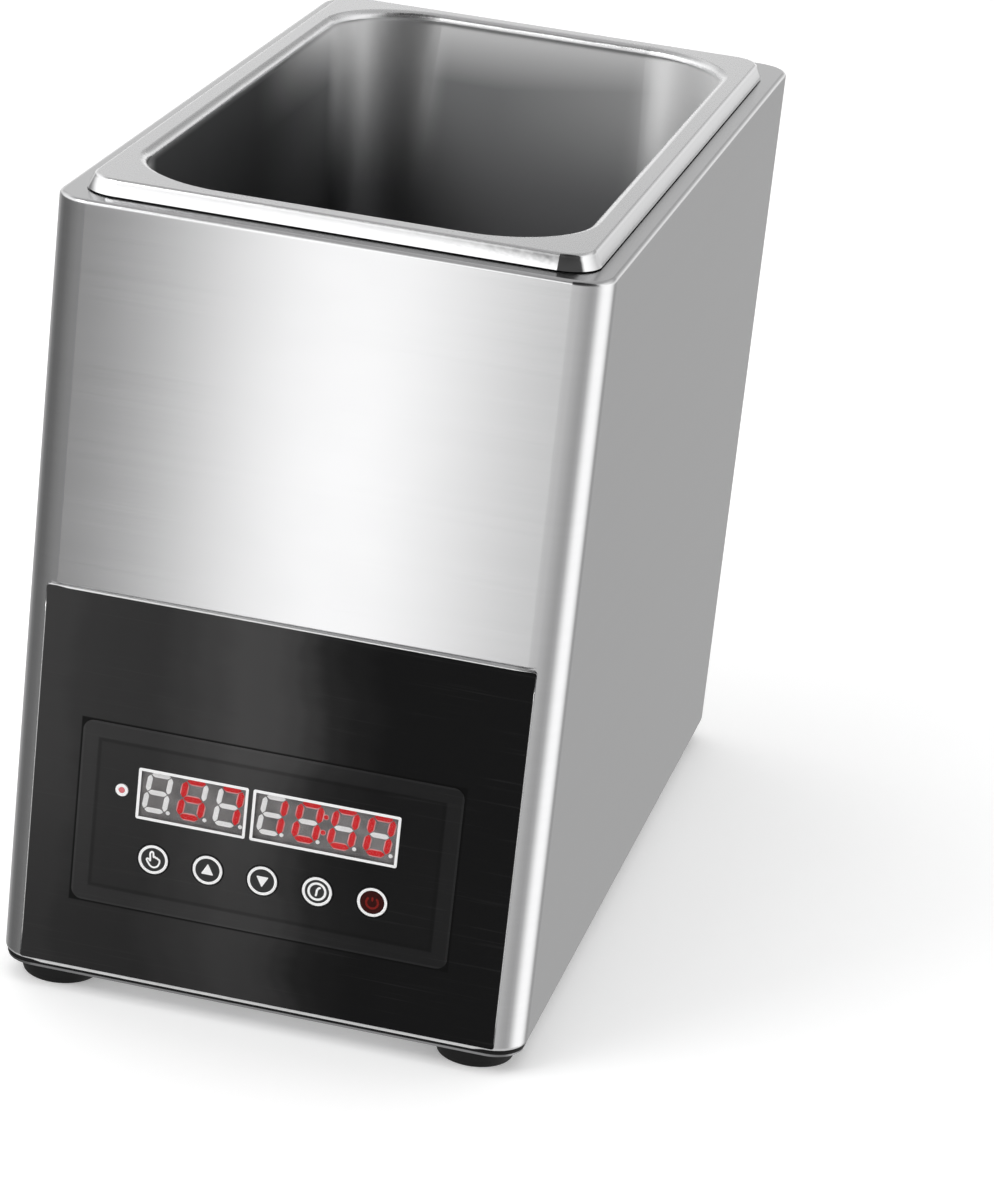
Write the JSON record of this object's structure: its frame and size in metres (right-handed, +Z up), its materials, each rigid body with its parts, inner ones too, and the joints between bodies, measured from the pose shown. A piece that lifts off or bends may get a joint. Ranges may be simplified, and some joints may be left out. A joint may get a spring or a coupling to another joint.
{
  "type": "commercial egg boiler",
  "caption": "Narrow upright counter-top boiler: brushed steel casing, lift-out gastronorm pan in the top, black control panel with displays and push keys low on the front, rubber feet.",
  "frame": {"origin": "on the counter, under the centre of the bounding box, level with the undersides of the feet", "axes": "+X to the right when facing the control panel, +Y from the control panel to the rear cover, +Z up out of the pan"},
  "size_m": [0.19, 0.3556, 0.2918],
  "materials": {
    "casing_steel": "vertical brushed, polished edges",
    "pan_steel": "satin, polished lip",
    "liner_steel": "mill finish",
    "zinc_steel": "bright zinc",
    "black_panel": "satin black, faint brushing",
    "black_film": "semi-gloss",
    "clear_window": "clear",
    "display_grey": "moulded grey with pale segments",
    "lamp_lens": "clear red",
    "key_plastic": "satin",
    "black_rubber": "matt",
    "seal_silicone": "matt silicone",
    "mineral_wool": "felted",
    "cast_aluminium": "satin",
    "element_steel": "heat-tinted",
    "ceramic_white": "unglazed",
    "board_green": "solder mask",
    "component_black": "moulded",
    "component_blue": "moulded",
    "terminal_green": "moulded",
    "transformer_core": "varnished laminations",
    "can_aluminium": "sleeved",
    "fuse_glass": "clear",
    "tinned_brass": "tinned",
    "brass": "turned",
    "inlet_plastic": "moulded",
    "lead_brown": "silicone sleeve",
    "lead_green": "green and yellow",
    "lead_white": "silicone sleeve",
    "ribbon_grey": "flat cable"
  },
  "bodies": {
    "cabinet": {"base_gasket": "black_rubber", "base_plate": "casing_steel", "base_screws": "zinc_steel", "board_buzzer": "component_black", "board_chips": "component_black", "board_fuse": "fuse_glass", "board_screws": "zinc_steel", "board_standoffs": "brass", "board_terminals": "terminal_green", "bottom_insulation": "mineral_wool", "cabinet_shell": "casing_steel", "clamp_bolts": "zinc_steel", "control_board": "board_green", "control_panel": "black_panel", "display_windows": "clear_window", "earth_lead": "lead_green", "earth_ring": "tinned_brass", "earth_stud": "zinc_steel", "element_clamps": "zinc_steel", "element_terminals": "ceramic_white", "filter_capacitor": "can_aluminium", "foot_screws": "zinc_steel", "heat_shield": "liner_steel", "heater_element": "element_steel", "heater_leads": "lead_white", "heater_plate": "cast_aluminium", "heater_relay": "component_blue", "heating_lamp": "lamp_lens", "inlet_pins": "tinned_brass", "inlet_screws": "zinc_steel", "insulation_wrap": "mineral_wool", "keypad_film": "black_film", "m4_nuts": "zinc_steel", "mains_leads": "lead_brown", "overheat_cutout": "component_black", "panel_ribbon": "ribbon_grey", "plate_posts": "zinc_steel", "power_board": "board_green", "power_inlet": "inlet_plastic", "probe_lead": "lead_white", "rear_panel": "casing_steel", "rear_screws": "zinc_steel", "ribbon_headers": "component_black", "rim_seal": "seal_silicone", "rubber_feet": "black_rubber", "shield_studs": "zinc_steel", "tact_switches": "component_black", "temperature_display": "display_grey", "temperature_probe": "element_steel", "timer_display": "display_grey", "top_deck": "casing_steel", "transformer": "transformer_core", "well_liner": "liner_steel"},
    "pan": {"gn_pan": "pan_steel"},
    "key_down": {"key_down": "key_plastic"},
    "key_power": {"key_power": "key_plastic"},
    "key_set": {"key_set": "key_plastic"},
    "key_timer": {"key_timer": "key_plastic"},
    "key_up": {"key_up": "key_plastic"}
  },
  "joints": [
    {"name": "pan_lift", "type": "slide", "parent": "cabinet", "child": "pan", "axis": [0, 0, 1], "range_m": [0, 0.16]},
    {"name": "key_down_press", "type": "slide", "parent": "cabinet", "child": "key_down", "axis": [0, 1, 0], "range_m": [0, 0.0005], "stiffness_N_per_m": 3200},
    {"name": "key_power_press", "type": "slide", "parent": "cabinet", "child": "key_power", "axis": [0, 1, 0], "range_m": [0, 0.0005], "stiffness_N_per_m": 3200},
    {"name": "key_set_press", "type": "slide", "parent": "cabinet", "child": "key_set", "axis": [0, 1, 0], "range_m": [0, 0.0005], "stiffness_N_per_m": 3200},
    {"name": "key_timer_press", "type": "slide", "parent": "cabinet", "child": "key_timer", "axis": [0, 1, 0], "range_m": [0, 0.0005], "stiffness_N_per_m": 3200},
    {"name": "key_up_press", "type": "slide", "parent": "cabinet", "child": "key_up", "axis": [0, 1, 0], "range_m": [0, 0.0005], "stiffness_N_per_m": 3200}
  ]
}
